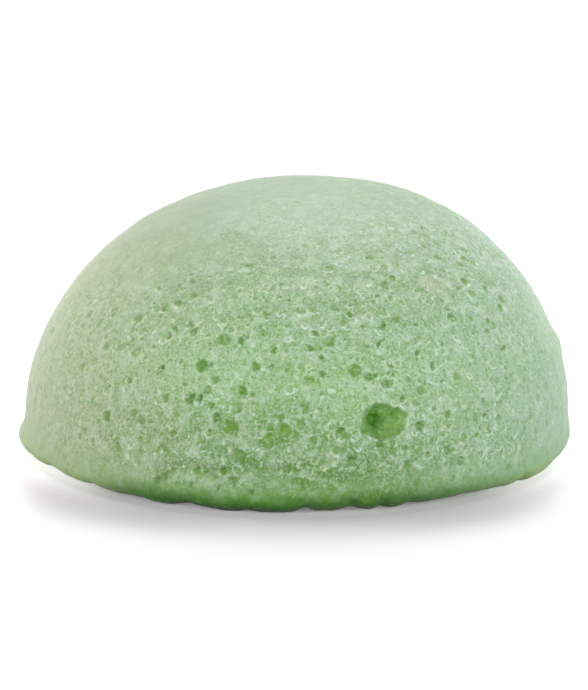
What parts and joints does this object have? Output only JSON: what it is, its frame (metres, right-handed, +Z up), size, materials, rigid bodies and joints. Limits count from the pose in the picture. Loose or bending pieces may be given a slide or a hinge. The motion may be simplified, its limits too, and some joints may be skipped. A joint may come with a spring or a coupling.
{
  "type": "konjac sponge",
  "caption": "Half-ball face sponge of foamed konjac gel: a full, softly pored dome on a flat side with a low rolled brim, and one big burst bubble on the front.",
  "frame": {"origin": "middle of the flat underside, on the surface that the sponge stands on", "axes": "+Z up through the crown, -Y to the front, where the big burst bubble is, +X to the right seen from the front"},
  "size_m": [0.0808, 0.0808, 0.0385],
  "materials": {
    "core_foam": "matte",
    "dome_foam": "matte",
    "base_foam": "matte"
  },
  "bodies": {
    "root": {"foam_core": "core_foam", "dome_skin": "dome_foam", "base_skin": "base_foam"}
  },
  "joints": []
}
